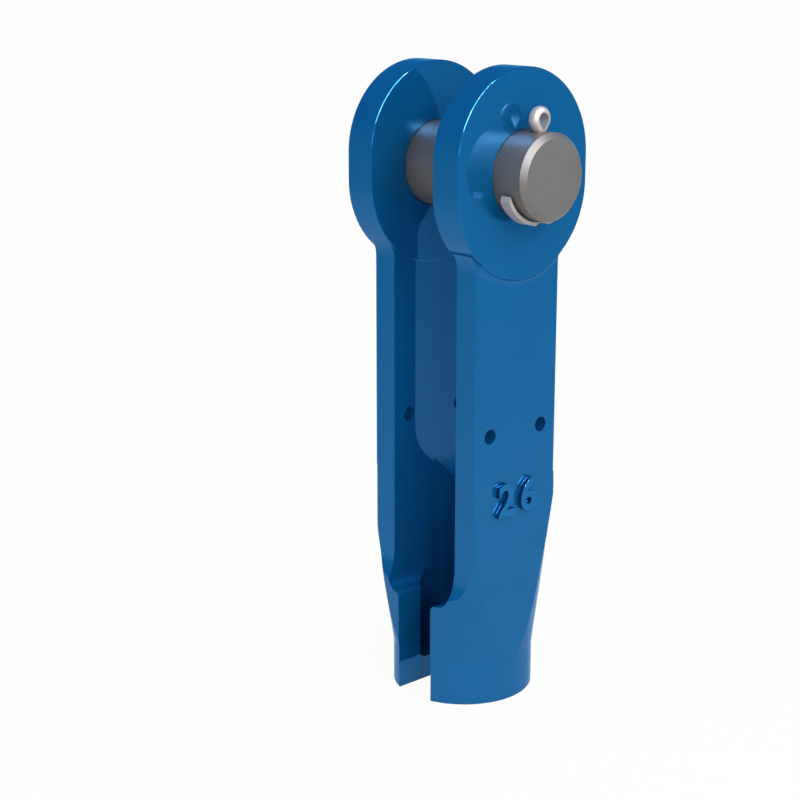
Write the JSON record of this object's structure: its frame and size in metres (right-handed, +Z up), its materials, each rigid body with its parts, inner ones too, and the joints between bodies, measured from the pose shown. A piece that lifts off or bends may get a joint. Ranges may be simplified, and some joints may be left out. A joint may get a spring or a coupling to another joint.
{
  "type": "open wire rope pocket socket with clevis pin",
  "caption": "Open pocket socket for a rope with a swaged ferrule: slotted round nose, two straps and a clevis with a pin.",
  "frame": {"origin": "centre of the flat underside of the round nose, on the nose's axis", "axes": "+X along the clevis pin towards its end with the split pin, -Y out of the slotted front, +Z up along the straps to the clevis"},
  "size_m": [0.1263, 0.1036, 0.3808],
  "materials": {
    "painted_steel": "glossy blue enamel over a forging",
    "dark_steel": "turned dark steel",
    "bright_steel": "bright drawn wire"
  },
  "bodies": {
    "socket": {"socket_body": "painted_steel"},
    "pin": {"clevis_pin": "dark_steel", "split_pin": "bright_steel"}
  },
  "joints": [
    {"name": "pin_turn", "type": "hinge", "parent": "socket", "child": "pin", "pos_m": [0, 0, 0.321], "axis": [1, 0, 0], "continuous": true}
  ]
}
